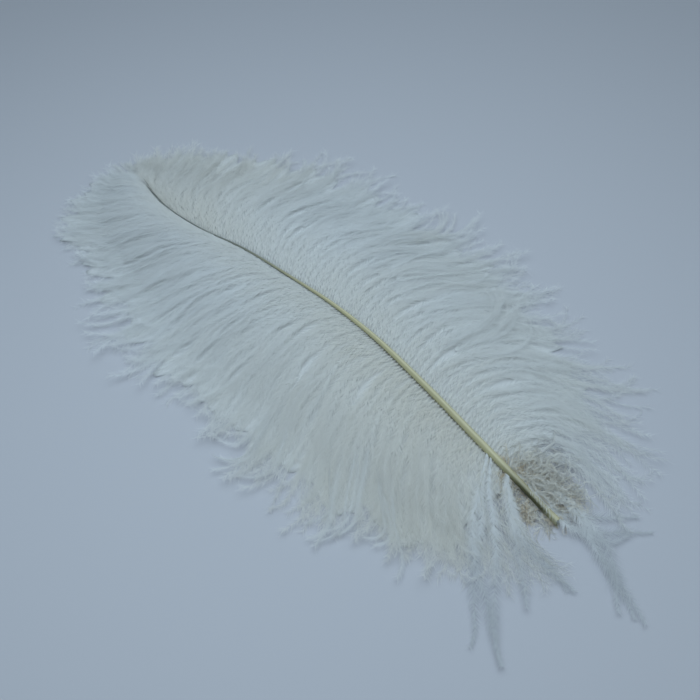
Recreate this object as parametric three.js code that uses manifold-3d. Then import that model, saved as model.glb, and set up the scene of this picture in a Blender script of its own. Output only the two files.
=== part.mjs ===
// An ostrich plume lying on a flat surface, in millimetres, +Z up.
// The shaft runs from its cut quill end, at -Y, to its tip, at +Y. The two vanes spread to
// either side as soft locks of barbs, which arch off the shaft and come down to lie flat.
// The whole plume grew as one piece, so it is one solid.
import * as THREE from "three";
import { mergeVertices } from "three/addons/utils/BufferGeometryUtils.js";
import Module from "manifold-3d";

// Driving dimensions
const SHAFT_LENGTH = 565; // from the quill end to the tip, as the crow flies
const QUILL_RADIUS = 3.4; // the shaft at its cut end
const TIP_RADIUS = 0.7; // the shaft at its tip
const LOCKS_PER_SIDE = 37;
const LOCK_THICKNESS = 3.6; // along the middle of a lock
const PARTING_THICKNESS = 1.2; // where two locks part
const LIE_HEIGHT = 0.5; // middle of a lock where it lies on the surface
const VANE_LIFT = 6; // how far the locks swell above the shaft's line before they fall
const SWELL_TO = 0.62; // share of a lock's length at which the swell is over
const FALL_FROM = 0.04; // shares of a lock's length between which it comes down to the surface
const FALL_TO = 0.84;
const NOTCH = 0.74; // share of a lock's length at which it parts from its neighbour
const NOTCH_SWAY = 0.05; // how far that share comes and goes from lock to lock
const LOCK_OPENING = 0.25; // share of a lock's length in which it opens from the shaft's thickness
const EDGE_THINNING = 0.75; // share of its thickness that a lock loses towards its tip
const TURNING = 2; // how much sooner than evenly a barb's heading turns
const RAGGED_LONG = 0.04; // the vane's ragged edge: two waves of these shares of a lock's length,
const RAGGED_SHORT = 0.02; // and how fast each runs along the vane, in radians a lock
const RAGGED_LONG_PITCH = 2.4;
const RAGGED_SHORT_PITCH = 5.3;
const NOTCH_PITCH = 3.7;
const VANE_END = 0.985; // share of the shaft's length at which the last locks root
const CROWDING = 0.12; // how much closer the locks root near the tip than near the quill

// Where the quill end stands in the part's frame, whose origin is the middle of the underside
const QUILL_END = new THREE.Vector3(-16, -258, 0);

// The shaft's middle line from the quill end: x and z in mm, at fractions of the shaft length
const SHAFT_ROUTE = [
  { at: 0, x: 0, z: 4.0 },
  { at: 0.14, x: 7, z: 9.0 },
  { at: 0.28, x: 13, z: 15.5 },
  { at: 0.4, x: 16, z: 20.0 },
  { at: 0.49, x: 14, z: 22.0 },
  { at: 0.58, x: 8, z: 22.5 },
  { at: 0.69, x: 0, z: 21.0 },
  { at: 0.79, x: -12, z: 17.5 },
  { at: 0.9, x: -15, z: 12.0 },
  { at: 1, x: -4, z: 7.0 },
];

// How the barbs grow on each side, at fractions of the shaft length: the heading that a barb
// starts and ends with, in degrees from +Y towards its own side, and its length, in mm.
const LEFT_BARBS = [
  { at: 0.085, start: 112, end: 190, length: 98 },
  { at: 0.12, start: 106, end: 176, length: 122 },
  { at: 0.17, start: 98, end: 160, length: 148 },
  { at: 0.22, start: 94, end: 152, length: 160 },
  { at: 0.29, start: 86, end: 142, length: 175 },
  { at: 0.36, start: 76, end: 130, length: 185 },
  { at: 0.45, start: 64, end: 114, length: 190 },
  { at: 0.56, start: 52, end: 92, length: 190 },
  { at: 0.67, start: 44, end: 70, length: 176 },
  { at: 0.78, start: 36, end: 56, length: 152 },
  { at: 0.88, start: 28, end: 48, length: 118 },
  { at: 0.95, start: 20, end: 40, length: 80 },
  { at: 1, start: 4, end: 14, length: 42 },
];
const RIGHT_BARBS = [
  { at: 0.085, start: 72, end: 222, length: 126 },
  { at: 0.12, start: 68, end: 206, length: 160 },
  { at: 0.17, start: 66, end: 184, length: 182 },
  { at: 0.22, start: 66, end: 166, length: 198 },
  { at: 0.29, start: 64, end: 150, length: 208 },
  { at: 0.36, start: 62, end: 138, length: 210 },
  { at: 0.45, start: 58, end: 128, length: 208 },
  { at: 0.54, start: 52, end: 118, length: 208 },
  { at: 0.63, start: 46, end: 106, length: 204 },
  { at: 0.72, start: 38, end: 92, length: 188 },
  { at: 0.8, start: 30, end: 78, length: 158 },
  { at: 0.89, start: 24, end: 58, length: 112 },
  { at: 0.95, start: 18, end: 40, length: 72 },
  { at: 1, start: 2, end: 12, length: 38 },
];

// Loose locks at the quill, which trail back past its end: where they root, how they head
const LOOSE_LOCKS = [
  { side: -1, at: 0.13, start: 118, end: 142, length: 168 },
  { side: -1, at: 0.1, start: 118, end: 168, length: 122 },
  { side: 1, at: 0.08, start: 146, end: 214, length: 150 },
  { side: 1, at: 0.09, start: 202, end: 142, length: 122 },
];
const LOOSE_WIDTH = 13;
const LOOSE_ROOT = 0.34; // share of its width that a loose lock has at its root
const LOOSE_FULL = 0.6; // share of its length at which it has its full width
const LOOSE_POINT = 5; // how late it draws in to its tip
const LOOSE_TIP = 0.06; // share of its width at the tip
const LOOSE_FLATNESS = 0.55; // share of its height that the tip keeps

const SHAFT_SIDES = 10;
const SHAFT_STEPS = 28;
const LOCK_SIDES = 6;
const LOCK_STEPS = 9;
const PATH_STEPS = 24; // steps in which a lock's heading is followed
const SEARCH_STEPS = 30; // halvings that find a point of the shaft
const UP = new THREE.Vector3(0, 0, 1);
const SHAFT_CREST = Math.max(...SHAFT_ROUTE.map((point) => point.z));

const shaftLine = new THREE.CatmullRomCurve3(
  SHAFT_ROUTE.map((p) => new THREE.Vector3(p.x, p.at * SHAFT_LENGTH, p.z).add(QUILL_END)),
  false,
  "centripetal",
);

// A value of a list of keys, in straight steps between them
function valueAt(keys, at, name) {
  const next = keys.findIndex((key) => key.at >= at);
  if (next <= 0) return keys[next < 0 ? keys.length - 1 : 0][name];
  const [a, b] = [keys[next - 1], keys[next]];
  return THREE.MathUtils.mapLinear(at, a.at, b.at, a[name], b[name]);
}

// Point of the shaft at a fraction of its length along +Y
function shaftPoint(at) {
  const point = new THREE.Vector3();
  let [low, high] = [0, 1];
  for (let i = 0; i < SEARCH_STEPS; i++) {
    const middle = (low + high) / 2;
    shaftLine.getPoint(middle, point);
    if (point.y - QUILL_END.y < at * SHAFT_LENGTH) low = middle;
    else high = middle;
  }
  return point;
}

// A closed tube along a path: sizes gives the half width and half height at a fraction of it
function sweep(path, sizes, sides, steps) {
  const geometry = new THREE.CylinderGeometry(1, 1, 1, sides, steps);
  const position = geometry.attributes.position;
  const vertex = new THREE.Vector3();
  for (let i = 0; i < position.count; i++) {
    vertex.fromBufferAttribute(position, i);
    const along = 0.5 + vertex.y;
    const middle = path.getPoint(along);
    const forward = path.getTangent(along);
    const across = new THREE.Vector3().crossVectors(forward, UP).normalize();
    const above = new THREE.Vector3().crossVectors(across, forward);
    const size = sizes(along);
    middle.addScaledVector(across, vertex.x * size.width);
    middle.addScaledVector(above, vertex.z * size.height);
    position.setXYZ(i, middle.x, middle.y, middle.z);
  }
  return geometry;
}

function shaftRadius(along) {
  return THREE.MathUtils.lerp(QUILL_RADIUS, TIP_RADIUS, Math.pow(along, 1.15));
}

function shaft() {
  const sizes = (along) => ({ width: shaftRadius(along), height: shaftRadius(along) });
  return sweep(shaftLine, sizes, SHAFT_SIDES, SHAFT_STEPS);
}

// The path of a lock: its heading turns soon after the shaft and then runs on nearly straight,
// while the lock swells off the shaft and falls to lie flat
function lockPath(side, { at, start, end, length }) {
  const points = [];
  const place = shaftPoint(at);
  const rootHeight = place.z;
  const step = length / PATH_STEPS;
  for (let i = 0; i <= PATH_STEPS; i++) {
    const along = i / PATH_STEPS;
    const fall = THREE.MathUtils.smoothstep(along, FALL_FROM, FALL_TO);
    const swell = Math.sin(Math.PI * Math.min(along / SWELL_TO, 1)) * (rootHeight / SHAFT_CREST);
    const height = THREE.MathUtils.lerp(rootHeight, LIE_HEIGHT, fall) + swell * VANE_LIFT;
    points.push(new THREE.Vector3(place.x, place.y, height));
    const turned = 1 - Math.pow(1 - (i + 0.5) / PATH_STEPS, TURNING);
    const heading = THREE.MathUtils.degToRad(THREE.MathUtils.lerp(start, end, turned));
    place.x += side * Math.sin(heading) * step;
    place.y += Math.cos(heading) * step;
  }
  return new THREE.CatmullRomCurve3(points);
}

// The line of the vane at a share of its spread, from the quill to the tip. Whole shares of the
// lock count run down the middle of a lock; between them two locks part, short of their tips.
function vaneLine(side, keys, share) {
  const spread = share * (LOCKS_PER_SIDE - 1);
  const parting = Math.abs(spread - Math.round(spread)) > 0.25;
  const first = keys[0].at;
  const at = first + (VANE_END - first) * share * (1 + CROWDING * (1 - share));
  const longWave = RAGGED_LONG * Math.sin(spread * RAGGED_LONG_PITCH + side);
  const shortWave = RAGGED_SHORT * Math.sin(spread * RAGGED_SHORT_PITCH);
  const named = (name) => valueAt(keys, at, name);
  const length = named("length") * (1 + longWave + shortWave);
  return {
    path: lockPath(side, { at, start: named("start"), end: named("end"), length }),
    reach: parting ? NOTCH + NOTCH_SWAY * Math.sin(spread * NOTCH_PITCH) : 1,
    thickness: parting ? PARTING_THICKNESS : LOCK_THICKNESS,
    root: shaftRadius(at),
  };
}

// One vane: a closed sheet bent from a flat box, ridged along its locks and cut into them at its edge
function vane(side, keys) {
  const columns = 2 * (LOCKS_PER_SIDE - 1);
  const lines = [];
  for (let i = 0; i <= columns; i++) lines.push(vaneLine(side, keys, i / columns));
  const geometry = new THREE.BoxGeometry(1, 1, 1, columns, 1, LOCK_STEPS);
  const position = geometry.attributes.position;
  for (let i = 0; i < position.count; i++) {
    const share = 0.5 + side * position.getX(i);
    const along = 0.5 + position.getZ(i);
    const line = lines[Math.round(share * columns)];
    const point = line.path.getPoint(along * line.reach);
    const opening = Math.min(along / LOCK_OPENING, 1);
    const opened = THREE.MathUtils.lerp(line.root, line.thickness, opening);
    const half = (opened / 2) * (1 - EDGE_THINNING * Math.pow(along, 4));
    position.setXYZ(i, point.x, point.y, point.z + 2 * position.getY(i) * half);
  }
  return geometry;
}

// A loose lock: narrow at its root, full past the middle, drawn out to a soft point
function looseLock(loose) {
  const sizes = (along) => {
    const full = THREE.MathUtils.smoothstep(along, 0, LOOSE_FULL);
    const opening = THREE.MathUtils.lerp(LOOSE_ROOT, 1, full);
    const point = Math.max(Math.sqrt(1 - Math.pow(along, LOOSE_POINT)), LOOSE_TIP);
    return {
      width: (LOOSE_WIDTH / 2) * opening * point,
      height: (LOCK_THICKNESS / 2) * THREE.MathUtils.lerp(LOOSE_FLATNESS, 1, point),
    };
  };
  return sweep(lockPath(loose.side, loose), sizes, LOCK_SIDES, LOCK_STEPS);
}

const wasm = await Module();
wasm.setup();

function solidOf(geometry) {
  const bare = geometry.clone();
  bare.deleteAttribute("normal");
  bare.deleteAttribute("uv");
  const merged = mergeVertices(bare);
  return new wasm.Manifold(
    new wasm.Mesh({
      numProp: 3,
      vertProperties: new Float32Array(merged.attributes.position.array),
      triVerts: new Uint32Array(merged.index.array),
    }),
  );
}

function geometryOf(solid) {
  const mesh = solid.getMesh();
  const geometry = new THREE.BufferGeometry();
  geometry.setAttribute("position", new THREE.BufferAttribute(mesh.vertProperties, 3));
  geometry.setIndex(new THREE.BufferAttribute(mesh.triVerts, 1));
  geometry.computeVertexNormals();
  return geometry;
}

// Everything below the surface that the plume lies on
function belowSurface() {
  const depth = 10 * LOCK_THICKNESS;
  const slab = new THREE.BoxGeometry(2 * SHAFT_LENGTH, 2 * SHAFT_LENGTH, depth);
  slab.translate(0, 0, -depth / 2);
  return solidOf(slab);
}

function plume() {
  const growths = [vane(-1, LEFT_BARBS), vane(1, RIGHT_BARBS), ...LOOSE_LOCKS.map(looseLock)];
  let whole = solidOf(shaft());
  for (const growth of growths) whole = whole.add(solidOf(growth));
  return geometryOf(whole.subtract(belowSurface()));
}

const feather = new THREE.Mesh(
  plume(),
  new THREE.MeshStandardMaterial({ color: 0xf1efe8, roughness: 0.9, metalness: 0 }),
);
feather.name = "feather";

const ostrichFeather = new THREE.Group();
ostrichFeather.add(feather);
export default ostrichFeather;
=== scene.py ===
"""An ostrich plume lying on a pale surface: a curved horn shaft, and the barbs of its two vanes.

Every barb is grown along a path worked out from a few growth rules, and geometry nodes give it
its stem and its fringe of barbules. Lengths are in metres and angles in radians, unless a name
says degrees or millimetres.
"""
import math

import bpy
import numpy as np
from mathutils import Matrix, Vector


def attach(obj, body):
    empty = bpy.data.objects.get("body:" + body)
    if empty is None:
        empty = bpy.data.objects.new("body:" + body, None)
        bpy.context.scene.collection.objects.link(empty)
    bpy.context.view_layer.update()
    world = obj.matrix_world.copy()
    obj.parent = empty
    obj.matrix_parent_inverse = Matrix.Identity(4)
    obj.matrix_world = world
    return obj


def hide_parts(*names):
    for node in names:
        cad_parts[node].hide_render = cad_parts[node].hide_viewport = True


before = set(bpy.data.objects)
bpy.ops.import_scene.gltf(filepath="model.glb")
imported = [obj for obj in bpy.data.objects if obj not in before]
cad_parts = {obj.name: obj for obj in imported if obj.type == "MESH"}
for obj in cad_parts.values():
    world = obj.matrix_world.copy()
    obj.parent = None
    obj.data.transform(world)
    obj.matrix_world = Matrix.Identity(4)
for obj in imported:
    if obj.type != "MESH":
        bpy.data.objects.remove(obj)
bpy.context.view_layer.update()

bl_info = {
    "name": "Ostrich plume",
    "version": (1, 0, 0),
    "blender": (4, 5, 0),
    "location": "View3D > Sidebar > Plume",
    "description": "Builds a white ostrich plume with its shaft, barbs and barbules",
    "category": "Add Mesh",
}

MM = 0.001
NODE = "feather"
BODY = "root"

# The shaft, as the solid has it
SHAFT_LENGTH = 565 * MM
QUILL_END = np.array([-16, -258, 0]) * MM
QUILL_RADIUS = 3.4 * MM
TIP_RADIUS = 0.7 * MM
# share of the length, x and z in mm from the quill end
SHAFT_ROUTE = np.array(
    [
        (0.00, 0, 4.0),
        (0.14, 7, 9.0),
        (0.28, 13, 15.5),
        (0.40, 16, 20.0),
        (0.49, 14, 22.0),
        (0.58, 8, 22.5),
        (0.69, 0, 21.0),
        (0.79, -12, 17.5),
        (0.90, -15, 12.0),
        (1.00, -4, 7.0),
    ]
)
SHAFT_CREST = SHAFT_ROUTE[:, 2].max() * MM

# How the barbs grow on each side: share of the shaft, first and last heading in degrees from +Y
# towards their own side, and length in mm
LEFT, RIGHT = -1, 1
GROWTH = {
    LEFT: np.array(
        [
            (0.085, 112, 190, 98),
            (0.12, 106, 176, 122),
            (0.17, 98, 160, 148),
            (0.22, 94, 152, 160),
            (0.29, 86, 142, 175),
            (0.36, 76, 130, 185),
            (0.45, 64, 114, 190),
            (0.56, 52, 92, 190),
            (0.67, 44, 70, 176),
            (0.78, 36, 56, 152),
            (0.88, 28, 48, 118),
            (0.95, 20, 40, 80),
            (1.00, 4, 14, 42),
        ]
    ),
    RIGHT: np.array(
        [
            (0.085, 72, 222, 126),
            (0.12, 68, 206, 160),
            (0.17, 66, 184, 182),
            (0.22, 66, 166, 198),
            (0.29, 64, 150, 208),
            (0.36, 62, 138, 210),
            (0.45, 58, 128, 208),
            (0.54, 52, 118, 208),
            (0.63, 46, 106, 204),
            (0.72, 38, 92, 188),
            (0.80, 30, 78, 158),
            (0.89, 24, 58, 112),
            (0.95, 18, 40, 72),
            (1.00, 2, 12, 38),
        ]
    ),
}
# Loose locks at the quill: side, share of the shaft, first and last heading, length in mm
LOOSE_LOCKS = np.array(
    [
        (LEFT, 0.13, 116, 137, 176),
        (LEFT, 0.10, 118, 168, 122),
        (RIGHT, 0.08, 146, 214, 150),
        (RIGHT, 0.09, 202, 142, 122),
    ]
)
VANE_START, VANE_END = 0.085, 0.985  # shares of the shaft between which barbs root
CROWDING = 0.12  # how much closer than evenly they root at the tip
LOCKS_PER_SIDE = 37
TURNING = 2  # how much sooner than evenly a barb's heading turns
LIE_HEIGHT = 1.6 * MM  # of a barb that lies flat
VANE_LIFT = 6 * MM  # how far the vane swells off the shaft where the shaft is highest
SWELL_TO = 0.62  # share of a barb where that swell is over
FALL_FROM, FALL_TO = 0.04, 0.84  # shares of a barb between which it falls to lie flat
# The vane's edge waves slowly and quickly: share of a barb's length, and radians from lock to lock
SLOW_WAVE, SLOW_PITCH = 0.04, 2.4
QUICK_WAVE, QUICK_PITCH = 0.02, 5.3

LOWEST_STEM = 1.3 * MM  # how close to the table a barb's stem comes
GUIDE_STEPS = 26  # points down a barb's path
# What each point of a guide carries: the length, width and angle of its barbules and how many of
# them grow, the stem's radius, the twist of the fringe, and three shares that vary the colour,
# the last of them a painted shade that darkens the loose locks' thin ends
GUIDE_KEYS = ("fringe", "blade", "sweep", "keep", "girth", "roll", "tone", "warmth", "painted_shade")
TURN_STEPS = 24  # steps in which a barb's heading is followed


def smoothstep(low, high, value):
    t = np.clip((value - low) / (high - low), 0, 1)
    return t * t * (3 - 2 * t)


def past(low, value):
    return smoothstep(low, 1.0, value)


def shaft_line(at):
    """Points of the shaft's middle line at shares of its length, smooth through the route."""
    at = np.asarray(at, float)
    knots, route = SHAFT_ROUTE[:, 0], SHAFT_ROUTE[:, 1:] * MM
    slopes = np.gradient(route, knots, axis=0)
    i = np.clip(np.searchsorted(knots, at) - 1, 0, len(knots) - 2)
    span = (knots[i + 1] - knots[i])[..., None]
    t = (at[..., None] - knots[i][..., None]) / span
    across = (
        (1 + 2 * t) * (1 - t) ** 2 * route[i]
        + t * (1 - t) ** 2 * span * slopes[i]
        + t * t * (3 - 2 * t) * route[i + 1]
        + t * t * (t - 1) * span * slopes[i + 1]
    )
    line = np.stack([across[..., 0], at * SHAFT_LENGTH, across[..., 1]], axis=-1)
    return line + QUILL_END


def shaft_radius(at):
    return QUILL_RADIUS + (TIP_RADIUS - QUILL_RADIUS) * np.asarray(at, float) ** 1.15


def root_share(share):
    """Share of the shaft at which a barb roots, from its share of the vane."""
    return VANE_START + (VANE_END - VANE_START) * share * (1 + CROWDING * (1 - share))


def headings_and_lengths(side, at):
    growth = GROWTH[side]
    start, end, length = (np.interp(at, growth[:, 0], growth[:, k]) for k in (1, 2, 3))
    return np.radians(start), np.radians(end), length * MM


def turned(start, end, along):
    """Heading of a barb at a share of its length: it turns soon and then runs nearly straight."""
    return start + (end - start) * (1 - (1 - along) ** TURNING)


def barb_line(side, at, start, end, length, along):
    """Points of a smooth barb that leaves the shaft, swells off it and falls to lie flat."""
    steps = (np.arange(TURN_STEPS) + 0.5) / TURN_STEPS
    heading = turned(start[..., None], end[..., None], along[..., None] * steps)
    reach = along * length
    root = shaft_line(at)
    fall = smoothstep(FALL_FROM, FALL_TO, along)
    swell = np.sin(np.pi * np.minimum(along / SWELL_TO, 1)) * root[..., 2] / SHAFT_CREST
    return np.stack(
        [
            root[..., 0] + side * np.sin(heading).mean(-1) * reach,
            root[..., 1] + np.cos(heading).mean(-1) * reach,
            root[..., 2] * (1 - fall) + LIE_HEIGHT * fall + swell * VANE_LIFT,
        ],
        axis=-1,
    )


def vane_flow(side, share, along):
    """Points of the vane's smooth flow: share runs from quill to tip, along from root to edge."""
    at = root_share(share)
    start, end, length = headings_and_lengths(side, at)
    spread = share * (LOCKS_PER_SIDE - 1)
    ragged = 1 + SLOW_WAVE * np.sin(spread * SLOW_PITCH + side)
    ragged = ragged + QUICK_WAVE * np.sin(spread * QUICK_PITCH)
    return barb_line(side, at, start, end, length * ragged, along)


def wander(side, heading, extra, length):
    """How far a path strays from the smooth one when its heading is turned by extra as it goes."""
    step = (length / (heading.shape[1] - 1))[:, None]
    strayed = np.stack([side * np.sin(heading + extra), np.cos(heading + extra)], -1)
    smooth = np.stack([side * np.sin(heading), np.cos(heading)], -1)
    stray = np.cumsum((strayed - smooth) * step[..., None], axis=1)
    return stray - stray[:, :1]


def sway(rng, along, degrees, waves, leaning=0.35):
    """A gentle waver of the heading, in radians, that starts from nothing at the root."""
    count = len(along)
    pitch = rng.uniform(*waves, count)[:, None]
    phase = rng.uniform(0, 2 * np.pi, count)[:, None]
    lean = rng.normal(0, leaning, count)[:, None]
    waver = np.sin(2 * np.pi * pitch * along + phase) + lean
    return np.radians(degrees) * waver * np.minimum(3 * along, 1)


def tip_curl(rng, along, mean, spread):
    """How far each tip curls, in radians, from about three quarters of the barb on."""
    count = len(along)
    begin = rng.uniform(0.6, 0.86, count)[:, None]
    bend = np.radians(rng.normal(mean, spread, count))[:, None]
    return bend * np.clip((along - begin) / (1 - begin), 0, 1) ** 1.3


def fringe_profile(along):
    """Share of the longest barbule's length that the barbules have down a barb."""
    opening = 0.5 + 0.5 * smoothstep(0, 0.08, along)
    return opening * (1 - 0.35 * smoothstep(0.7, 1.0, along))


def fringe_of(plume, along, length=1.0, width=1.0):
    """The barbules and the stem down barbs; length and width are shares of the usual ones."""
    opening = 0.75 + 0.25 * smoothstep(0, 0.3, along) + 0.3 * past(0.7, along)
    return {
        "fringe": length * plume.barbule_length * fringe_profile(along),
        "blade": width * plume.barbule_width * (1 - 0.45 * smoothstep(0.2, 0.7, along)),
        "sweep": plume.barbule_sweep * opening,
        "keep": 0.5 + 0.5 * smoothstep(0.1, 0.5, along),
        "girth": plume.stem_radius * (1 - 0.65 * along),
        "painted_shade": np.zeros_like(along),
    }


def rolls(rng, along, spread):
    """How a barb's fringe twists about its stem."""
    count = len(along)
    pitch, phase = rng.uniform(2, 6, count)[:, None], rng.uniform(0, 2 * np.pi, count)[:, None]
    twist = rng.normal(0, spread, count)[:, None] + spread * np.sin(along * pitch + phase)
    return twist * smoothstep(0, 0.5, along)


ROOT_ASIDE = 0.8  # how far from the shaft's middle line barbs stay, in shares of its radius
PAST_QUILL = 4 * MM  # they keep clear of the quill until so far past its end


def clear_of_shaft(side, path):
    """Barb paths with the points that would cross the shaft pushed back to their own side."""
    at = np.clip((path[..., 1] - QUILL_END[1]) / SHAFT_LENGTH, 0, 1)
    beside = side * (path[..., 0] - shaft_line(at)[..., 0])
    above_quill = path[..., 1] > QUILL_END[1] - PAST_QUILL
    below_tip = path[..., 1] < QUILL_END[1] + SHAFT_LENGTH
    short = np.maximum(shaft_radius(at) * ROOT_ASIDE - beside, 0)
    short = np.where(above_quill & below_tip, short, 0)
    path[..., 0] += side * short
    return path


def even(count):
    """Shares of the length of a number of barbs, as (barb, step)."""
    return np.linspace(0, 1, GUIDE_STEPS)[None, :] * np.ones((count, 1))


def fullness(side, share):
    """How dense a barb's fringe is: the first ones above the quill are thin and seen through."""
    if side == LEFT:
        return 0.2 + 0.8 * smoothstep(0.02, 0.11, share)
    return 0.75 + 0.25 * smoothstep(0.0, 0.08, share)


def warmth_of(side, share, along):
    """How far the vane is from white towards cream: most near the shaft and the quill."""
    near_quill = smoothstep(0.58, 0.12, share)
    warmth = 0.1 + (0.4 if side == LEFT else 0.1) * near_quill
    if side == RIGHT:
        warmth = warmth + 0.25 * smoothstep(0.55, 0.8, share)
    return warmth + 0.22 * (1 - smoothstep(0, 0.4, along))


def tones(rng, along):
    """One shade for each barb, all down it."""
    return rng.random(len(along))[:, None] * np.ones_like(along)


# How the barbs of a vane differ from its flow, in shares of all its barbs or of a barb's length
COVERED_TO = (0.25, 0.55)  # every other barb shows only from about here on
BARB_REACH = (0.88, 1.01)
SHORT_BARBS, SHORTENED_TO = 0.15, 0.88
STRAY_BARBS, STRAY_REACH = 0.04, (1.02, 1.06)
EDGE_WAVE, EDGE_PITCH = 0.045, 24  # the pitch is in radians over the whole vane
BARB_WAVES = (1.1, 3.2)  # how many times a barb sways
TIP_CURL, TIP_CURL_SPREAD = {LEFT: -10, RIGHT: -20}, 30  # degrees
ROOT_LOWERED = 0.4  # how far under the shaft's middle line barbs root, as a share of how far aside
COVERED_SINK = 1.5 * MM  # how far a covered barb starts under the others
TIP_SINK = 2 * MM  # how far the last barbs root under the shaft's thin end


def barb_reach(side, share, rng):
    """How much of its length in the flow each barb has: some are shorter, and a few stick out."""
    count = len(share)
    reach = rng.uniform(*BARB_REACH, count)
    reach[rng.random(count) < SHORT_BARBS] *= SHORTENED_TO
    stray = rng.random(count) < STRAY_BARBS
    reach[stray] = rng.uniform(*STRAY_REACH, stray.sum())
    reach *= 1 - EDGE_WAVE * (1 + np.sin(EDGE_PITCH * share + 2 * side))
    if side == RIGHT:
        reach *= 1 - 0.04 * smoothstep(0.03, 0.1, share) * smoothstep(0.62, 0.35, share)
    return reach


def lay_over_each_other(path, share, lock, begin, along, plume, rng):
    """Raises barb paths into crowned locks with loft and upturned tips, and lowers their roots."""
    count = len(share)
    off_middle = (share - lock) * 2 * (LOCKS_PER_SIDE - 1)
    crown = plume.lock_crown * (1 - off_middle**2)[:, None] * np.sin(np.pi * along) ** 0.8
    layer = plume.loft * rng.random(count)[:, None] * np.sin(np.pi * np.minimum(along / 0.9, 1))
    lift = rng.uniform(0, 1, count) ** 2 * plume.tip_lift
    path[..., 2] += crown + layer + lift[:, None] * np.clip((along - 0.7) / 0.3, 0, 1) ** 2
    aside = (shaft_radius(root_share(share)) * ROOT_ASIDE)[:, None]
    path[..., 2] -= aside * ROOT_LOWERED * (1 - smoothstep(0, 0.06, along))
    path[..., 2] -= COVERED_SINK * (begin > 0) * (1 - smoothstep(0, 0.2, along - begin))
    path[..., 2] -= TIP_SINK * (past(0.86, share)[:, None] * (1 - smoothstep(0.1, 0.6, along)))


def vane_barbs(side, first, last, count, plume, rng):
    """Guides for a stretch of a vane's barbs; every other one shows only past those over it."""
    share = first + (last - first) * (np.arange(count) + rng.uniform(0.25, 0.75, count)) / count
    lock = np.round(share * (LOCKS_PER_SIDE - 1)) / (LOCKS_PER_SIDE - 1)
    begin = np.where(np.arange(count) % 2 == 0, 0, rng.uniform(*COVERED_TO, count))[:, None]
    along = begin + (1 - begin) * even(count)
    reach = barb_reach(side, share, rng)
    gathered = (plume.gather * rng.uniform(0.3, 1.4, count))[:, None] * smoothstep(0.3, 1.0, along)
    shares = share[:, None] * (1 - gathered) + lock[:, None] * gathered
    path = vane_flow(side, shares, along * reach[:, None])
    start, end, length = headings_and_lengths(side, root_share(share))
    heading = turned(start[:, None], end[:, None], along)
    curl = tip_curl(rng, along, TIP_CURL[side], TIP_CURL_SPREAD)
    curl *= (1 - 0.6 * smoothstep(0.7, 0.95, share))[:, None]
    extra = sway(rng, along, plume.waviness, BARB_WAVES) + curl
    path[..., :2] += wander(side, heading, extra, length * (1 - begin[:, 0]))
    lay_over_each_other(path, share, lock, begin, along, plume, rng)
    path[..., 0] += side * (shaft_radius(root_share(share)) * ROOT_ASIDE)[:, None]
    fringe = fringe_of(plume, along)
    fringe["keep"] *= fullness(side, share)[:, None] * (1 - 0.35 * past(0.8, along))
    if side == RIGHT:
        near_quill = smoothstep(0.45, 0.1, share)[:, None]
        fringe["keep"] *= 1 - 0.4 * smoothstep(0.4, 0.8, along) * near_quill
    return fringe | {
        "path": clear_of_shaft(side, path),
        "roll": rolls(rng, along, 0.15),
        "tone": tones(rng, along),
        "warmth": warmth_of(side, share[:, None], along),
    }


# Locks that curl out of the vane's flow: side, share of the vane, from where they show, share of
# their length that is left to them, where on it the curl begins, and how far it turns in degrees.
# The last two, one to each side of the shaft's tip, close the vane there.
CURLED_LOCKS = (
    (RIGHT, 0.455, 0.5, 0.96, 0.8, -88),
    (RIGHT, 0.215, 0.3, 0.62, 0.55, -115),
    (RIGHT, 0.2, 0.35, 0.66, 0.6, -100),
    (LEFT, 0.335, 0.5, 0.99, 0.84, -85),
    (LEFT, 0.24, 0.5, 0.99, 0.86, -80),
    (LEFT, 0.2, 0.5, 0.97, 0.88, -70),
    (LEFT, 1.0, 0.0, 1.0, 0.0, -16),
    (RIGHT, 1.0, 0.0, 1.0, 0.0, -16),
)
CURLED_SPREAD = 0.011  # how far apart the barbs of one lock root, in shares of the vane
CURL_SPREAD = 16  # degrees
CURLED_RISE, CLOSING_SINK = 3.5 * MM, 2 * MM  # over the vane, and under the shaft's tip


def curled_barbs(plume, rng, each=5):
    """Guides for the few locks that curl out of the vane's flow and lie on top of it."""
    guides = []
    for side, middle, first, reach, begin, degrees in CURLED_LOCKS:
        share = np.minimum(middle + rng.normal(0, CURLED_SPREAD, each), 1)
        along = first + (1 - first) * even(each)
        path = vane_flow(side, share[:, None] * np.ones_like(along), along * reach)
        start, end, length = headings_and_lengths(side, root_share(share))
        bend = np.radians(degrees + rng.normal(0, CURL_SPREAD, each))[:, None]
        extra = bend * np.clip((along - begin) / (1 - begin), 0, 1) ** 0.8
        extra = extra + sway(rng, along, 8, (0.9, 2))
        heading = turned(start[:, None], end[:, None], along)
        path[..., :2] += wander(side, heading, extra, length * reach * (1 - first))
        rise = CURLED_RISE if first else -CLOSING_SINK
        path[..., 2] += rise * smoothstep(first, first + 0.3, along)
        lock = {
            "path": path,
            "roll": rolls(rng, along, 0.3),
            "tone": tones(rng, along),
            "warmth": np.full_like(along, 0.2),
        }
        guides.append(fringe_of(plume, along, length=0.75) | lock)
    return {key: np.concatenate([guide[key] for guide in guides]) for key in guides[0]}


LOOSE_SWEEP = math.radians(40)
LOOSE_RISE = 4 * MM  # how far the highest loose barb's tip lies over the lowest


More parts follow.
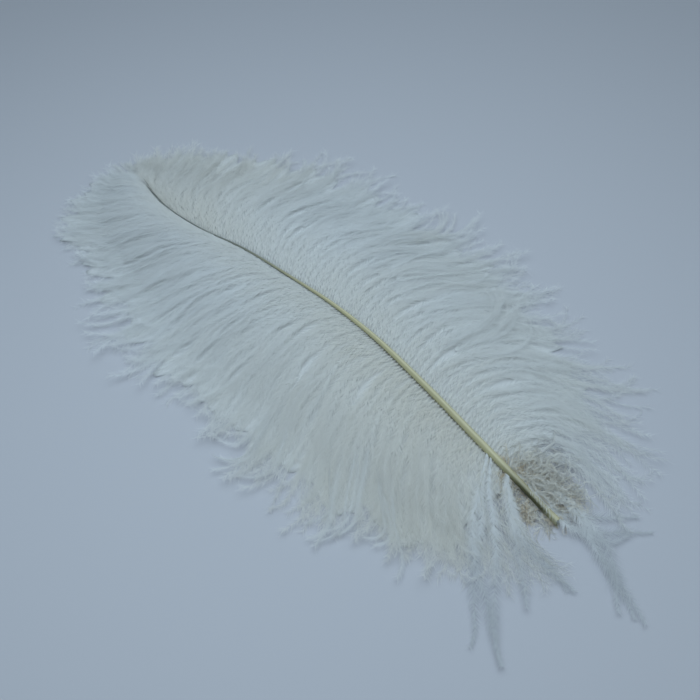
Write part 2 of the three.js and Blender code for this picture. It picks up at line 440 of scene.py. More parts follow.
def loose_barbs(plume, rng, each=3):
    """Guides for the loose locks at the quill: a few broad barbs that lie close together."""
    locks = np.repeat(LOOSE_LOCKS, each, axis=0)
    side, at = locks[:, 0], locks[:, 1] + rng.normal(0, 0.006, len(locks))
    start, end = np.radians(locks[:, 2:4] + rng.normal(0, 3.5, (len(locks), 2))).T
    length = locks[:, 4] * MM * rng.uniform(0.9, 1.0, len(locks))
    along = even(len(locks))
    line = [values[:, None] for values in (side, at, start, end, length)]
    path = barb_line(*line, along)
    extra = sway(rng, along, 12, (0.8, 1.6)) + tip_curl(rng, along, 0, 38)
    heading = turned(start[:, None], end[:, None], along)
    path[..., :2] += wander(side[:, None], heading, extra, length)
    path[..., 2] += rng.uniform(0, LOOSE_RISE, len(locks))[:, None] * along
    fringe = fringe_of(plume, along)
    fringe["fringe"] *= smoothstep(-0.2, 0.5, along) * (1 - 0.4 * past(0.72, along))
    fringe["sweep"] = np.full_like(along, LOOSE_SWEEP)
    fringe["keep"] = np.full_like(along, 0.6)
    # painted shade: the loose locks darken towards their thin ends
    fringe["painted_shade"] = smoothstep(0.35, 0.75, along)
    return fringe | {
        "path": clear_of_shaft(side[:, None], path),
        "roll": np.zeros_like(along),
        "tone": tones(rng, along),
        "warmth": np.full_like(along, 0.1),
    }


# The down at the quill
DOWN_COUNT = 310
DOWN_LEFT = 0.36  # share of it that is on the left
DOWN_ROOTS = (0.015, 0.11)  # shares of the shaft between which it roots
DOWN_LENGTH = (14, 44)  # shortest and longest, in mm
DOWN_SLOPE = 0.35  # how far it lies back towards the quill's end, for how far it lies aside
DOWN_LEFT_SINK = 2 * MM
# for the left and for the right side: times how long, how far aside in mm, and how high at most
DOWN_LONGER = (0.75, 1.15)
DOWN_ASIDE = (16, 30)
DOWN_HEIGHT = (0, 11 * MM)


def quill_down(plume, rng, count=DOWN_COUNT):
    """Guides for the short curly down at the quill, on both sides: a warm fawn tint, deepened the
    lower a curl lies as painted shade under the curls above.
    """
    side = np.where(rng.random(count) < DOWN_LEFT, LEFT, RIGHT)
    at = rng.uniform(*DOWN_ROOTS, count)
    start = np.radians(rng.uniform(40, 160, count))
    end = start + np.radians(rng.normal(40, 130, count))
    length = rng.uniform(*DOWN_LENGTH, count) * MM * np.where(side == LEFT, *DOWN_LONGER)
    along = even(count)
    path = barb_line(*[values[:, None] for values in (side, at, start, end, length)], along)
    extra = sway(rng, along, 60, (0.8, 2.6)) + tip_curl(rng, along, 0, 120)
    heading = turned(start[:, None], end[:, None], along)
    path[..., :2] += wander(side[:, None], heading, extra, length)
    aside = rng.uniform(0, 1, count) ** 1.6 * np.where(side == LEFT, *DOWN_ASIDE) * MM
    path[..., 0] += (side * aside)[:, None]
    path[..., 1] -= DOWN_SLOPE * aside[:, None]
    height = rng.uniform(0, 1, count)
    high = height * np.where(side == LEFT, *DOWN_HEIGHT)
    sunk = DOWN_LEFT_SINK * (side == LEFT)
    path[..., 2] += high[:, None] * np.sin(np.pi * along) - sunk[:, None]
    # painted shade: the lower a curl, the further its warmth goes past cream towards fawn; less so
    # the further aside it lies
    brown = (0.75 + 1.1 * (1 - height) ** 1.7) * (1 - 0.4 * aside / aside.max())
    return fringe_of(plume, along, length=0.22, width=0.9) | {
        "path": clear_of_shaft(side[:, None], path),
        "roll": rolls(rng, along, 0.8),
        "tone": tones(rng, along),
        "warmth": np.ones_like(along) * brown[:, None],
    }


UNDERLAYER_GRID = (4 * LOCKS_PER_SIDE, 28)
UNDERLAYER_EDGE = (0.95, 1.06)  # how unevenly it ends, in shares of its reach
UNDERLAYER_THICKNESS = 1.2 * MM
UNDERLAYER_RIDGE, UNDERLAYER_GRAIN = 0.3 * MM, 0.15 * MM  # depth of its locks and unevenness
UNDERLAYER_LOWEST_TOP, UNDERLAYER_LOWEST = 1.2 * MM, 0.3 * MM  # over the table


def flow_uv(corners):
    """Where corners of the underlayer lie on it: across the locks and along the barbs."""
    columns, rows = UNDERLAYER_GRID
    across, down = np.divmod(corners % (columns * rows), rows)
    return np.stack([across / (columns - 1), down / (rows - 1)], -1)


def underlayer(side, plume, rng):
    """The dense lower barbs of one vane as a soft closed sheet that ends short of their tips."""
    columns, rows = UNDERLAYER_GRID
    share = np.linspace(0, 1, columns)[:, None] * np.ones(rows)
    edge = plume.underlayer_reach * rng.uniform(*UNDERLAYER_EDGE, columns)
    edge = edge * (1 + 0.12 * smoothstep(0.6, 0.8, share[:, 0]))
    edge = edge * (0.22 + 0.78 * smoothstep(0.0, 0.14 if side == LEFT else 0.1, share[:, 0]))
    if side == RIGHT:
        edge = edge * (1 - 0.15 * smoothstep(0.4, 0.1, share[:, 0]))
    along = np.linspace(0, 1, rows)[None, :] * edge[:, None]
    top = vane_flow(side, share, along)
    spread = share * (LOCKS_PER_SIDE - 1)
    ridges = UNDERLAYER_RIDGE * np.cos(2 * np.pi * spread)
    ridges = ridges + rng.normal(0, UNDERLAYER_GRAIN, top.shape[:2])
    opened = np.minimum(along / 0.12, 1)
    top[..., 2] += ridges * opened - plume.underlayer_sink
    # it comes down to the table beside the quill
    top[..., 2] *= 0.15 + 0.85 * smoothstep(0, 0.025, share)
    top[..., 0] += side * 0.5 * shaft_radius(root_share(share))
    top[..., 2] = np.maximum(top[..., 2], UNDERLAYER_LOWEST_TOP)
    thick = UNDERLAYER_THICKNESS * (1 - 0.8 * (along / edge[:, None]) ** 2)
    below = top.copy()
    below[..., 2] = np.maximum(top[..., 2] - thick, UNDERLAYER_LOWEST)
    verts = np.concatenate([top.reshape(-1, 3), below.reshape(-1, 3)])
    faces = closed_sheet(columns, rows)
    warmth = np.tile(warmth_of(side, share, along).ravel(), 2)
    return verts, faces if side == LEFT else faces[:, ::-1], warmth


def closed_sheet(columns, rows):
    """Faces of a sheet's top, of its underside, with points in the same order, and its wall."""
    under = columns * rows
    index = np.arange(under).reshape(columns, rows)
    a, b, c, d = index[:-1, :-1], index[1:, :-1], index[1:, 1:], index[:-1, 1:]
    sheet = np.stack([a, b, c, d], -1).reshape(-1, 4)
    rim = np.concatenate([index[:, 0], index[-1, 1:], index[-2::-1, -1], index[0, -2:0:-1]])
    after = np.roll(rim, -1)
    wall = np.stack([rim, rim + under, after + under, after], -1)
    return np.concatenate([sheet, sheet[:, ::-1] + under, wall])


def put(name, data):
    """A new object in the scene."""
    item = bpy.data.objects.new(name, data)
    bpy.context.collection.objects.link(item)
    return item


def mark(mesh, name, values):
    """Gives each point of a mesh a value that its nodes or its material read by name."""
    mesh.attributes.new(name, "FLOAT", "POINT").data.foreach_set("value", values.ravel())


def guide_mesh(name, guides):
    """Barb paths as a mesh of plain edges, with what the fringe needs as point attributes."""
    path = guides["path"]
    path[..., 2] = np.maximum(path[..., 2], LOWEST_STEM)
    count, steps, _ = path.shape
    index = np.arange(count * steps).reshape(count, steps)
    edges = np.stack([index[:, :-1].ravel(), index[:, 1:].ravel()], axis=1)
    mesh = bpy.data.meshes.new(name)
    mesh.vertices.add(count * steps)
    mesh.vertices.foreach_set("co", path.ravel())
    mesh.edges.add(len(edges))
    mesh.edges.foreach_set("vertices", edges.ravel())
    for key in GUIDE_KEYS:
        mark(mesh, key, guides[key])
    mesh.update()
    return mesh


class Nodes:
    """A group of nodes as it is put together."""

    def __init__(self, group):
        self.group = group

    def add(self, kind, *inputs, output=0, **settings):
        """A node; inputs are (socket, value or output) pairs. Returns one of its outputs."""
        node = self.group.nodes.new(kind)
        for key, value in settings.items():
            setattr(node, key, value)
        for socket, value in inputs:
            if isinstance(value, bpy.types.NodeSocket):
                self.group.links.new(value, node.inputs[socket])
            else:
                node.inputs[socket].default_value = value
        return node.outputs[output] if len(node.outputs) else None

    def math(self, operation, *values, **settings):
        return self.add("ShaderNodeMath", *enumerate(values), operation=operation, **settings)

    def scaled(self, vector, by):
        return self.add("ShaderNodeVectorMath", (0, vector), (3, by), operation="SCALE")


class Tree(Nodes):
    """A geometry node tree that turns guides into a mesh."""

    def __init__(self, name):
        super().__init__(bpy.data.node_groups.new(name, "GeometryNodeTree"))
        for end, way in (("Geometry", "OUTPUT"), ("Guides", "INPUT")):
            self.group.interface.new_socket(end, in_out=way, socket_type="NodeSocketGeometry")
        self.source = None

    def input(self, name, kind, default=None):
        socket = self.group.interface.new_socket(name, in_out="INPUT", socket_type=kind)
        if default is not None:
            socket.default_value = default

    def given(self, name):
        if self.source is None:
            self.source = self.group.nodes.new("NodeGroupInput")
        return self.source.outputs[name]

    def vectors(self, operation, a, b):
        return self.add("ShaderNodeVectorMath", (0, a), (1, b), operation=operation)

    def named(self, name):
        return self.add("GeometryNodeInputNamedAttribute", (0, name), data_type="FLOAT")

    def random(self, low, high, seed):
        sockets = (2, low), (3, high), (8, seed)
        return self.add("FunctionNodeRandomValue", *sockets, output=1, data_type="FLOAT")


def barb_tree():
    """Guides become barbs: a three-sided stem along each, fringed on both sides with barbules."""
    tree = Tree("Barb growth")
    tree.input("Spacing", "NodeSocketFloat", 0.6 * MM)
    tree.input("Barbule thickness", "NodeSocketFloat", 0.08 * MM)
    tree.input("Stem step", "NodeSocketFloat", 11 * MM)
    tree.input("Lowest", "NodeSocketFloat", 0.2 * MM)
    tree.input("Seed", "NodeSocketInt", 1)
    tree.input("Material", "NodeSocketMaterial")
    curves = tree.add("GeometryNodeMeshToCurve", (0, tree.given("Guides")))
    curves = tree.add("GeometryNodeCurveSplineType", (0, curves), spline_type="CATMULL_ROM")
    curves = tree.add("GeometryNodeSetCurveNormal", (0, curves), mode="Z_UP")
    curves = tree.add("GeometryNodeSetCurveTilt", (0, curves), (2, tree.named("roll")))

    stems = tree.add(
        "GeometryNodeResampleCurve", (0, curves), (3, tree.given("Stem step")), mode="LENGTH"
    )
    profile = tree.add("GeometryNodeCurvePrimitiveCircle", (0, 3), (4, 1.0), mode="RADIUS")
    stems = tree.add(
        "GeometryNodeCurveToMesh", (0, stems), (1, profile), (2, tree.named("girth")), (3, True)
    )

    cone = (0, 3), (1, 1), (2, 1), (3, 0.0), (4, 1.0), (5, 1.0)
    blade = tree.add("GeometryNodeMeshCone", *cone, fill_type="NGON")
    fringes = []
    for number, side in enumerate((-1.0, 1.0)):
        points = tree.add(
            "GeometryNodeCurveToPoints", (0, curves), (2, tree.given("Spacing")), mode="LENGTH"
        )
        tangent, across = points.node.outputs["Tangent"], points.node.outputs["Normal"]
        seed = tree.math("ADD", tree.given("Seed"), 10.0 * number)
        angle = tree.math("MULTIPLY", tree.named("sweep"), tree.random(0.7, 1.3, seed))
        forward = tree.scaled(tangent, tree.math("COSINE", angle))
        outward = tree.scaled(across, tree.math("MULTIPLY", tree.math("SINE", angle), side))
        flat = tree.vectors("CROSS_PRODUCT", tangent, across)
        lift = tree.scaled(flat, tree.random(-0.14, 0.14, tree.math("ADD", seed, 3.0)))
        heading = tree.vectors("ADD", tree.vectors("ADD", forward, outward), lift)
        turned_blade = tree.add(
            "FunctionNodeAxesToRotation",
            (0, heading),
            (1, flat),
            primary_axis="Z",
            secondary_axis="X",
        )
        uneven = tree.random(0.65, 1.2, tree.math("ADD", seed, 5.0))
        length = tree.math("MULTIPLY", tree.named("fringe"), uneven)
        thickness, width = tree.given("Barbule thickness"), tree.named("blade")
        size = tree.add("ShaderNodeCombineXYZ", (0, thickness), (1, width), (2, length))
        kept = tree.add(
            "FunctionNodeRandomValue",
            (6, tree.named("keep")),
            (8, tree.math("ADD", seed, 7.0)),
            output=3,
            data_type="BOOLEAN",
        )
        fringe = tree.add(
            "GeometryNodeInstanceOnPoints",
            (0, points),
            (1, kept),
            (2, blade),
            (5, turned_blade),
            (6, size),
        )
        fringes.append(fringe)
    parts = ((0, part) for part in (*fringes, stems))
    whole = tree.add("GeometryNodeJoinGeometry", *parts)
    whole = tree.add("GeometryNodeRealizeInstances", (0, whole))
    place = tree.add("GeometryNodeInputPosition")
    floor = tree.add("ShaderNodeCombineXYZ", (0, -10.0), (1, -10.0), (2, tree.given("Lowest")))
    place = tree.vectors("MAXIMUM", place, floor)
    whole = tree.add("GeometryNodeSetPosition", (0, whole), (2, place))
    whole = tree.add("GeometryNodeSetMaterial", (0, whole), (2, tree.given("Material")))
    tree.add("NodeGroupOutput", (0, whole))
    return tree.group


def grow(name, guides, material, plume, seed, spacing=None):
    """Runs the barb tree on guides and leaves its result as one plain mesh object."""
    carrier = put(name + "_guides", guide_mesh(name + "_guides", guides))
    modifier = carrier.modifiers.new("Barbs", "NODES")
    modifier.node_group = bpy.data.node_groups.get("Barb growth") or barb_tree()
    values = {
        "Spacing": spacing or plume.barbule_spacing,
        "Barbule thickness": plume.barbule_thickness,
        "Seed": seed,
        "Material": material,
    }
    for item in modifier.node_group.interface.items_tree:
        if item.item_type == "SOCKET" and item.in_out == "INPUT" and item.name in values:
            modifier[item.identifier] = values[item.name]
    evaluated = carrier.evaluated_get(bpy.context.evaluated_depsgraph_get())
    mesh = bpy.data.meshes.new_from_object(evaluated)
    mesh.name = name
    bpy.data.objects.remove(carrier, do_unlink=True)
    return put(name, mesh)


def settle(piece):
    """Ties a finished piece to the frame."""
    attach(piece, BODY)
    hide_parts(NODE)


class Finish(Nodes):
    """A material's nodes."""

    def __init__(self, name):
        self.material = bpy.data.materials.new(name)
        self.material.use_nodes = True
        self.material.node_tree.nodes.clear()
        super().__init__(self.material.node_tree)

    def value(self, name):
        """What the points of a piece are marked with."""
        return self.add("ShaderNodeAttribute", output="Fac", attribute_name=name)

    def mix(self, factor, *pair):
        """A colour between two, each a plain colour or an output."""
        pair = [end if isinstance(end, bpy.types.NodeSocket) else (*end, 1) for end in pair]
        sockets = (0, factor), (6, pair[0]), (7, pair[1])
        return self.add("ShaderNodeMix", *sockets, output=2, data_type="RGBA")

    def noise(self, vector, scale, detail):
        sockets = ("Vector", vector), ("Scale", scale), ("Detail", detail)
        return self.add("ShaderNodeTexNoise", *sockets, output="Fac")

    def streaks(self, uv_map, stretch, scale, detail):
        """Noise drawn out along one way of a piece's own map."""
        uv = self.add("ShaderNodeUVMap", output="UV", uv_map=uv_map)
        drawn = self.add("ShaderNodeMapping", ("Vector", uv), ("Scale", stretch))
        return self.noise(drawn, scale, detail)

    def bump(self, height, strength, distance):
        sockets = ("Height", height), ("Strength", strength), ("Distance", distance)
        return self.add("ShaderNodeBump", *sockets)

    def surface(self, colour, roughness, *more):
        sockets = ("Base Color", colour), ("Roughness", roughness)
        return self.add("ShaderNodeBsdfPrincipled", *sockets, *more)

    def done(self, surface):
        self.add("ShaderNodeOutputMaterial", ("Surface", surface))
        return self.material


SEEN_THROUGH = 0.6  # share of the light that barbs pass on
TONE_WARMTH = 0.22  # how much warmer than the whitest the creamiest barb of a stretch is
THIN_END_SHADE = 0.9  # painted shade: brightness of the loose locks' thin ends, darkened to stand in for their see-through shade


def barb_material(colours):
    """Barbs: white, then cream as their warmth goes to 1, then fawn as it goes to 2, which the
    lower down takes as painted shade; the loose locks' thin ends are darkened as painted shade.
    """
    finish = Finish("White barbs")
    cloud = finish.noise(finish.add("ShaderNodeTexCoord", output="Object"), 22.0, 3.0)
    tone = finish.math("MULTIPLY", finish.value("tone"), cloud)
    creamy = finish.math("MULTIPLY_ADD", tone, TONE_WARMTH, finish.value("warmth"))
    colour = finish.mix(finish.math("MINIMUM", creamy, 1.0), colours.white, colours.cream)
    past_cream = finish.math("SUBTRACT", creamy, 1.0, use_clamp=True)
    colour = finish.mix(past_cream, colour, colours.fawn)
    # painted shade: the thin ends of the loose locks are darkened to a share of white
    thin = [THIN_END_SHADE * part for part in colours.white]
    colour = finish.mix(finish.value("painted_shade"), colour, thin)
    fibre = finish.surface(colour, 0.85, ("Sheen Weight", 0.2), ("Specular IOR Level", 0.2))
    glow = finish.add("ShaderNodeBsdfTranslucent", ("Color", colour))
    both = finish.add("ShaderNodeMixShader", (0, SEEN_THROUGH), (1, fibre), (2, glow))
    return finish.done(both)


def down_material(colours):
    """The barbs' lower layer: streaked along the barbs, as fine as hair, and darkened as painted
    shade of the depth under the barbs.
    """
    finish = Finish("Dense down")
    streak = finish.streaks("Flow", (260.0, 5.0, 1.0), 1.0, 4.0)
    pale = finish.mix(finish.value("warmth"), colours.white, colours.cream)
    # painted shade: the lower layer's colour is scaled down to between 0.66 and 0.77, along its
    # streaks
    shaded = ("To Min", 0.66), ("To Max", 0.77), ("Value", streak)
    colour = finish.scaled(pale, finish.add("ShaderNodeMapRange", *shaded))
    bump = finish.bump(streak, 0.4, 0.6 * MM)
    return finish.done(
        finish.surface(colour, 0.9, ("Specular IOR Level", 0.1), ("Normal", bump))
    )


def shaft_material(colours):
    """Streaked horn: olive painted shade on the side away from the light, umber by the down with a
    near-black painted shadow on that side, dark at its tip.
    """
    finish = Finish("Straw horn")
    streak = finish.streaks("Shaft", (14.0, 9.0, 1.0), 2.0, 6.0)
    narrowed = ("From Min", 0.38), ("From Max", 0.66), ("Value", streak)
    crisp = finish.add("ShaderNodeMapRange", *narrowed)
    # the side away from the light, painted with olive shade
    side = finish.value("side")
    horn = finish.mix(crisp, colours.horn_dark, colours.horn)
    horn = finish.mix(side, horn, colours.olive)
    horn = finish.mix(finish.value("tip"), horn, colours.tip)
    # by the down: umber, and near black on the side away from the light as painted shadow
    down_colour_with_painted_shadow = finish.mix(side, colours.umber, colours.groove)
    horn = finish.mix(finish.value("brown"), horn, down_colour_with_painted_shadow)
    polish = ("Coat Weight", 0.15), ("Coat Roughness", 0.3)
    bump = finish.bump(streak, 0.3, 0.3 * MM)
    return finish.done(finish.surface(horn, 0.38, *polish, ("Normal", bump)))


def table_material(colours):
    finish = Finish("Pale table")
    return finish.done(finish.surface((*colours.table, 1), 0.75))


def a_length(name, description, millimetres):
    return bpy.props.FloatProperty(
        name=name, description=description, default=millimetres * MM, unit="LENGTH"
    )


def a_share(name, description, default):
    return bpy.props.FloatProperty(
        name=name, description=description, default=default, min=0, max=1
    )


def a_colour(name, description, default):
    return bpy.props.FloatVectorProperty(
        name=name, description=description, default=default, subtype="COLOR"
    )


class PlumeShape(bpy.types.PropertyGroup):
    """Sizes of the plume's barbs."""

    barbule_length: a_length("Barbule length", "Longest barbules of a barb", 11)
    barbule_spacing: a_length("Barbule spacing", "Along a barb, on each side", 0.74)
    barbule_width: a_length("Barbule width", "Half width at the root", 0.29)
    barbule_thickness: a_length("Barbule thickness", "Half thickness", 0.07)
    barbule_sweep: bpy.props.FloatProperty(
        name="Barbule sweep",
        description="Between a barbule and its barb",
        default=math.radians(29),
        subtype="ANGLE",
    )
    stem_radius: a_length("Stem radius", "Of a barb at its root", 0.34)
    underlayer_reach: a_share(
        "Underlayer reach", "Share of the barbs' length that their dense lower layer covers", 0.79
    )
    underlayer_sink: a_length("Underlayer sink", "How far it lies under the barbs", 2.8)
    gather: a_share("Gather", "How far barbs close up into locks", 0.07)
    waviness: bpy.props.FloatProperty(
        name="Waviness", description="How far a barb's heading sways, in degrees", default=10.0
    )
    lock_crown: a_length("Lock crown", "Rise of a lock's middle", 0.3)
    loft: a_length("Loft", "Depth through which barbs lie over each other", 1.4)
    tip_lift: a_length("Tip lift", "How far the most upturned tips stand up", 10)


class PlumeColours(bpy.types.PropertyGroup):
    """Colours of the plume and of the table under it."""

    white: a_colour("White", "Barbs", (0.976, 0.982, 0.988))
    cream: a_colour("Cream", "Warmer barbs", (0.946, 0.926, 0.878))
    # fawn is the down's tint, and the lowest down goes towards it as painted shade
    fawn: a_colour("Fawn", "The brownest down", (0.87, 0.75, 0.56))
    horn: a_colour("Horn", "Shaft", (0.75, 0.68, 0.43))
    horn_dark: a_colour("Dark horn", "Streaks of the shaft", (0.63, 0.57, 0.34))
    # olive is painted shade on the shaft's side away from the light
    olive: a_colour("Olive", "The shaft's side away from the light", (0.5, 0.46, 0.26))
    umber: a_colour("Umber", "The shaft where the vanes begin", (0.42, 0.38, 0.24))
    # groove is a painted shadow, near black, on the shaft's side away from the light by the down
    groove: a_colour("Groove", "The dark groove beside the quill", (0.07, 0.07, 0.025))
    tip: a_colour("Shaft tip", "The thin end of the shaft", (0.2, 0.21, 0.18))
    table: a_colour("Table", "Surface under the plume", (0.598, 0.593, 0.632))


# Stretches of barbs: side, shares of the vane between which they root, and how many there are
STRETCHES = {
    "barbs_left_quill": (LEFT, 0.0, 0.3, 98),
    "barbs_left_middle": (LEFT, 0.3, 0.6, 114),
    "barbs_left_tip": (LEFT, 0.6, 1.0, 164),
    "barbs_right_quill": (RIGHT, 0.0, 0.28, 80),
    "barbs_right_middle": (RIGHT, 0.28, 0.56, 96),
    "barbs_right_tip": (RIGHT, 0.56, 1.0, 136),
}


# Seeds: of the two lower layers with their side added, of the locks and down at the quill, and of
# barbules, for one stretch after the other and for the rest
UNDERLAYER_SEED, QUILL_SEED = 20, 11
STRETCH_SEED, LOOSE_SEED, DOWN_SEED, CURLED_SEED = 100, 700, 800, 900
LOOSE_SPACING, DOWN_SPACING = 0.3 * MM, 1.05 * MM  # of the barbules


class PLUME_OT_vane_barbs(bpy.types.Operator):
    """Grow the barbs of both vanes, a stretch at a time, over their dense lower layer"""

    bl_idname = "plume.vane_barbs"
    bl_label = "Vane barbs"

    def execute(self, context):
        shape, colours = context.scene.plume_shape, context.scene.plume_colours
        material = barb_material(colours)
        down = down_material(colours)
        for side, name in ((LEFT, "underlayer_left"), (RIGHT, "underlayer_right")):
            rng = np.random.default_rng(UNDERLAYER_SEED + side)
            verts, faces, warmth = underlayer(side, shape, rng)
            mesh = bpy.data.meshes.new(name)
            mesh.from_pydata(verts.tolist(), [], faces.tolist())
            mesh.polygons.foreach_set("use_smooth", [True] * len(mesh.polygons))
            corners = np.empty(len(mesh.loops), dtype=int)
            mesh.loops.foreach_get("vertex_index", corners)
            mesh.uv_layers.new(name="Flow").data.foreach_set("uv", flow_uv(corners).ravel())
            mark(mesh, "warmth", warmth)
            mesh.materials.append(down)
            settle(put(name, mesh))
        for number, (name, (side, first, last, count)) in enumerate(STRETCHES.items(), start=1):
            rng = np.random.default_rng(number)
            guides = vane_barbs(side, first, last, count, shape, rng)
            settle(grow(name, guides, material, shape, STRETCH_SEED * number))
        return {"FINISHED"}


class PLUME_OT_quill_barbs(bpy.types.Operator):
    """Grow the loose barbs at the quill, the locks that curl, and the curly down"""

    bl_idname = "plume.quill_barbs"
    bl_label = "Loose barbs and down"

    def execute(self, context):
        shape = context.scene.plume_shape
        material = bpy.data.materials["White barbs"]
        rng = np.random.default_rng(QUILL_SEED)
        for name, guides_of, seed, spacing in (
            ("loose_barbs", loose_barbs, LOOSE_SEED, LOOSE_SPACING),
            ("curled_barbs", curled_barbs, CURLED_SEED, None),
            ("quill_down", quill_down, DOWN_SEED, DOWN_SPACING),
        ):
            piece = grow(name, guides_of(shape, rng), material, shape, seed, spacing)
            settle(piece)
        return {"FINISHED"}


class PLUME_OT_shaft(bpy.types.Operator):
    """Build the horn shaft with its hollow cut quill"""

    bl_idname = "plume.shaft"
    bl_label = "Shaft"

    SIDES = 24
    RINGS = 150
    # the hollow of the cut quill, from its bottom to its mouth: how deep, in mm, and how wide, as
    # shares of the quill's radius
    HOLLOW = ((15, 0.35), (13, 0.66), (6, 0.74), (0.5, 0.78), (0, 0.86), (0.15, 0.98))
    FIRST_RING = 0.8 * MM  # from the quill's end, past the rim of the hollow
    TIP_RISE = 1.5 * MM  # the thin end lies so much higher that it shows between the barbs
    # the grooves to each side of the ridge on top: how far from it and how wide, in radians, and
    # how deep, as a share of the radius
    GROOVE_ASIDE, GROOVE_WIDTH, GROOVE_DEPTH = 0.75, 0.3, 0.09
    SQUARENESS = 0.05
    # the slant and the fraying of the cut: how far in mm, how many times round, and turned how far
    CUT = ((1.1, 1, 0.5), (0.35, 3, 1), (0.25, 7, 0))
    CUT_FADES = 1.6 * MM

    def execute(self, context):
        at = np.linspace(0, 1, self.RINGS) ** 1.15
        at[0] = self.FIRST_RING / SHAFT_LENGTH
        deep = np.array([depth * MM / SHAFT_LENGTH for depth, _ in self.HOLLOW])
        at = np.concatenate([deep, at])
        turn = np.linspace(0, 2 * np.pi, self.SIDES, endpoint=False)
        mesh = bpy.data.meshes.new("shaft")
        verts = self.rings(at, turn).reshape(-1, 3)
        mesh.from_pydata(verts.tolist(), [], self.faces(len(at)))
        layer = mesh.uv_layers.new(name="Shaft")
        for loop in mesh.loops:
            i, j = divmod(loop.vertex_index, self.SIDES)
            layer.data[loop.index].uv = (at[i], abs(2 * j / self.SIDES - 1))
        self.colour_marks(mesh, at, turn)
        mesh.polygons.foreach_set("use_smooth", [True] * len(mesh.polygons))
        mesh.materials.append(shaft_material(context.scene.plume_colours))
        settle(put("shaft", mesh))
        return {"FINISHED"}

    def rings(self, at, turn):
        """Points of the shaft's rings, those of the hollow first."""
        radius = shaft_radius(at) * (1 - 0.42 * smoothstep(0.3, 0.7, at))
        radius *= 1 - 0.45 * smoothstep(0.65, 0.9, at)
        radius[: len(self.HOLLOW)] = [width * QUILL_RADIUS for _, width in self.HOLLOW]
        middle = shaft_line(at)
        middle[:, 2] += self.TIP_RISE * smoothstep(0.8, 0.95, at)
        nearby = np.clip(at, 0, 0.999)
        forward = shaft_line(nearby + 0.001) - shaft_line(nearby)
        forward /= np.linalg.norm(forward, axis=1)[:, None]
        across = np.cross(forward, [0, 0, 1])
        across /= np.linalg.norm(across, axis=1)[:, None]
        above = np.cross(across, forward)
        # round at the quill, then squarer and grooved
        square = smoothstep(0.03, 0.2, at)[:, None]
        groove = sum(
            np.exp(-(((turn - np.pi / 2 - aside) / self.GROOVE_WIDTH) ** 2))
            for aside in (-self.GROOVE_ASIDE, self.GROOVE_ASIDE)
        )
        form = self.SQUARENESS * np.cos(4 * turn) - self.GROOVE_DEPTH * groove
        girth = radius[:, None] * (1 + square * form)
        ring = (
            middle[:, None]
            + across[:, None] * (girth * np.cos(turn))[..., None]
            + above[:, None] * (girth * np.sin(turn))[..., None]
        )
        cut = sum(far * np.sin(times * turn + phase) for far, times, phase in self.CUT)
        near_cut = np.exp(-at * SHAFT_LENGTH / self.CUT_FADES)[:, None] * cut * MM
        return ring + forward[:, None] * near_cut[..., None]

    def faces(self, rings):
        """The shaft's faces with its two end caps: the hollow's bottom and the tip."""
        around = range(self.SIDES)
        faces = [tuple(around)[::-1], tuple((rings - 1) * self.SIDES + j for j in around)]
        for i in range(rings - 1):
            for j in around:
                k = (j + 1) % self.SIDES
                a, b = i * self.SIDES, (i + 1) * self.SIDES
                faces.append((a + j, a + k, b + k, b + j))
        return faces

    def colour_marks(self, mesh, at, turn):
        """Marks the side away from the light for painted shade, the thin tip and the brown stretch
        by the down.
        """
        everywhere = np.ones((len(at), self.SIDES))
        # inside the hollow both marks are set high, which paints it dark as painted shade in the
        # recess
        inside = (np.arange(len(at)) < len(self.HOLLOW) - 2)[:, None]
        # painted shade: the side of the shaft away from the light
        away = smoothstep(0.0, 0.75, -np.cos(turn) - 0.2 * np.sin(turn))[None, :]
        brown = (0.35 + 0.65 * smoothstep(0.005, 0.03, at)) * smoothstep(0.13, 0.06, at)
        mark(mesh, "side", np.where(inside, 0.9, away * everywhere))
        mark(mesh, "tip", smoothstep(0.46, 0.76, at)[:, None] * everywhere)
        mark(mesh, "brown", np.where(inside, 0.8, brown[:, None] * everywhere))


CAMERA_AZIMUTH = math.radians(-42.5)
CAMERA_ELEVATION = math.radians(50)
CAMERA_DISTANCE = 765 * MM
CAMERA_TARGET = np.array([-15, -20, 0]) * MM
FIELD_OF_VIEW = math.radians(45)
SENSOR_WIDTH = 36  # mm
TABLE_HALF = 4  # m, wide enough to fill the picture
ROOM_COLOUR, ROOM_STRENGTH = (0.7, 0.88, 1.03, 1), 0.29
# Round lamps, each turned to the table halfway between the middle and the point under it: place,
# width, power in watts and colour
LAMPS = {
    "key": ((1.7, 0.3, 2.4), 1.5, 5.0, (0.72, 0.89, 1.0)),
    "overhead": ((-0.09, -0.02, 0.8), 1.0, 3.95, (0.73, 0.89, 1.0)),
}
LIGHT_BOUNCES, FIBRE_BOUNCES = 16, 12  # white barbs pass light on many times


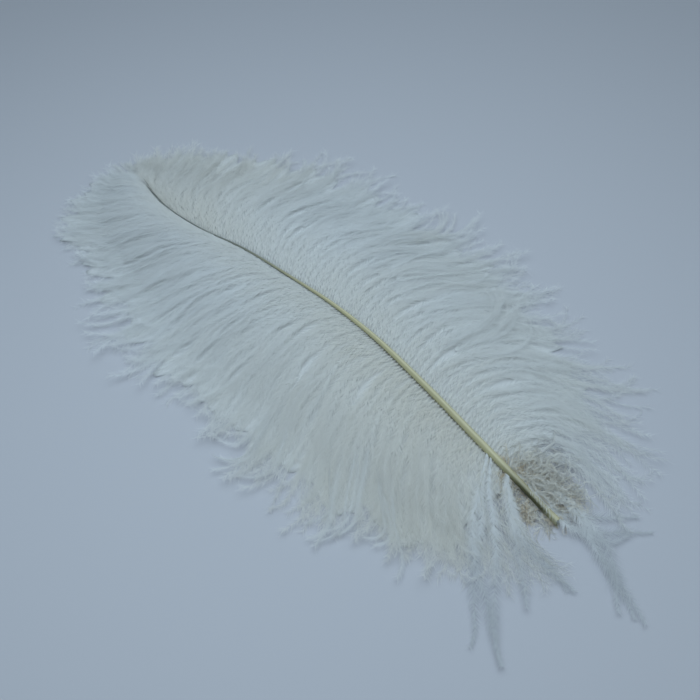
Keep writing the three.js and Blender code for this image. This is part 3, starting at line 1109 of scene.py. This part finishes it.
class PLUME_OT_stage(bpy.types.Operator):
    """Set out the table, the lights and the camera"""

    bl_idname = "plume.stage"
    bl_label = "Stage"

    def execute(self, context):
        scene = context.scene
        mesh = bpy.data.meshes.new("table_top")
        corners = [(-1, -1, 0), (1, -1, 0), (1, 1, 0), (-1, 1, 0)]
        corners = [tuple(TABLE_HALF * place for place in corner) for corner in corners]
        mesh.from_pydata(corners, [], [(0, 1, 2, 3)])
        mesh.materials.append(table_material(scene.plume_colours))
        table = put("table_top", mesh)
        world = bpy.data.worlds.new("Room")
        world.use_nodes = True
        background = world.node_tree.nodes["Background"]
        background.inputs["Color"].default_value = ROOM_COLOUR
        background.inputs["Strength"].default_value = ROOM_STRENGTH
        scene.world = world
        for name, lamp in LAMPS.items():
            self.light(name, *lamp)
        scene.camera = self.camera()
        scene.view_settings.view_transform = "Standard"
        scene.cycles.max_bounces = LIGHT_BOUNCES
        scene.cycles.diffuse_bounces = FIBRE_BOUNCES
        scene.cycles.transmission_bounces = FIBRE_BOUNCES
        return {"FINISHED"}

    @staticmethod
    def camera():
        lens = bpy.data.cameras.new("camera")
        lens.sensor_width = SENSOR_WIDTH
        lens.lens = SENSOR_WIDTH / 2 / math.tan(FIELD_OF_VIEW / 2)
        lens.clip_start, lens.clip_end = 0.01, 50
        eye = put("camera", lens)
        a, e = CAMERA_AZIMUTH, CAMERA_ELEVATION
        back = Vector((math.sin(a) * math.cos(e), -math.cos(a) * math.cos(e), math.sin(e)))
        eye.location = Vector(CAMERA_TARGET) + back * CAMERA_DISTANCE
        eye.rotation_euler = back.to_track_quat("Z", "Y").to_euler()
        return eye

    @staticmethod
    def light(name, place, size, power, colour):
        lamp = bpy.data.lights.new(name, "AREA")
        lamp.shape = "DISK"
        lamp.size, lamp.energy, lamp.color = size, power, colour
        holder = put(name, lamp)
        holder.location = place
        facing = Vector(place) - Vector((place[0] / 2, place[1] / 2, 0))
        holder.rotation_euler = facing.to_track_quat("Z", "Y").to_euler()


OPERATORS = (PLUME_OT_shaft, PLUME_OT_vane_barbs, PLUME_OT_quill_barbs, PLUME_OT_stage)


class PLUME_PT_panel(bpy.types.Panel):
    """Lists the plume's operators"""

    bl_label = "Plume"
    bl_idname = "PLUME_PT_panel"
    bl_space_type = "VIEW_3D"
    bl_region_type = "UI"
    bl_category = "Plume"

    def draw(self, context):
        for operator in OPERATORS:
            self.layout.operator(operator.bl_idname)


CLASSES = (PlumeShape, PlumeColours, *OPERATORS, PLUME_PT_panel)


def register():
    for cls in CLASSES:
        bpy.utils.register_class(cls)
    bpy.types.Scene.plume_shape = bpy.props.PointerProperty(type=PlumeShape)
    bpy.types.Scene.plume_colours = bpy.props.PointerProperty(type=PlumeColours)


def unregister():
    del bpy.types.Scene.plume_colours
    del bpy.types.Scene.plume_shape
    for cls in reversed(CLASSES):
        bpy.utils.unregister_class(cls)


def main():
    register()
    bpy.ops.plume.stage()
    bpy.ops.plume.shaft()
    bpy.ops.plume.vane_barbs()
    bpy.ops.plume.quill_barbs()


if __name__ == "__main__":
    main()
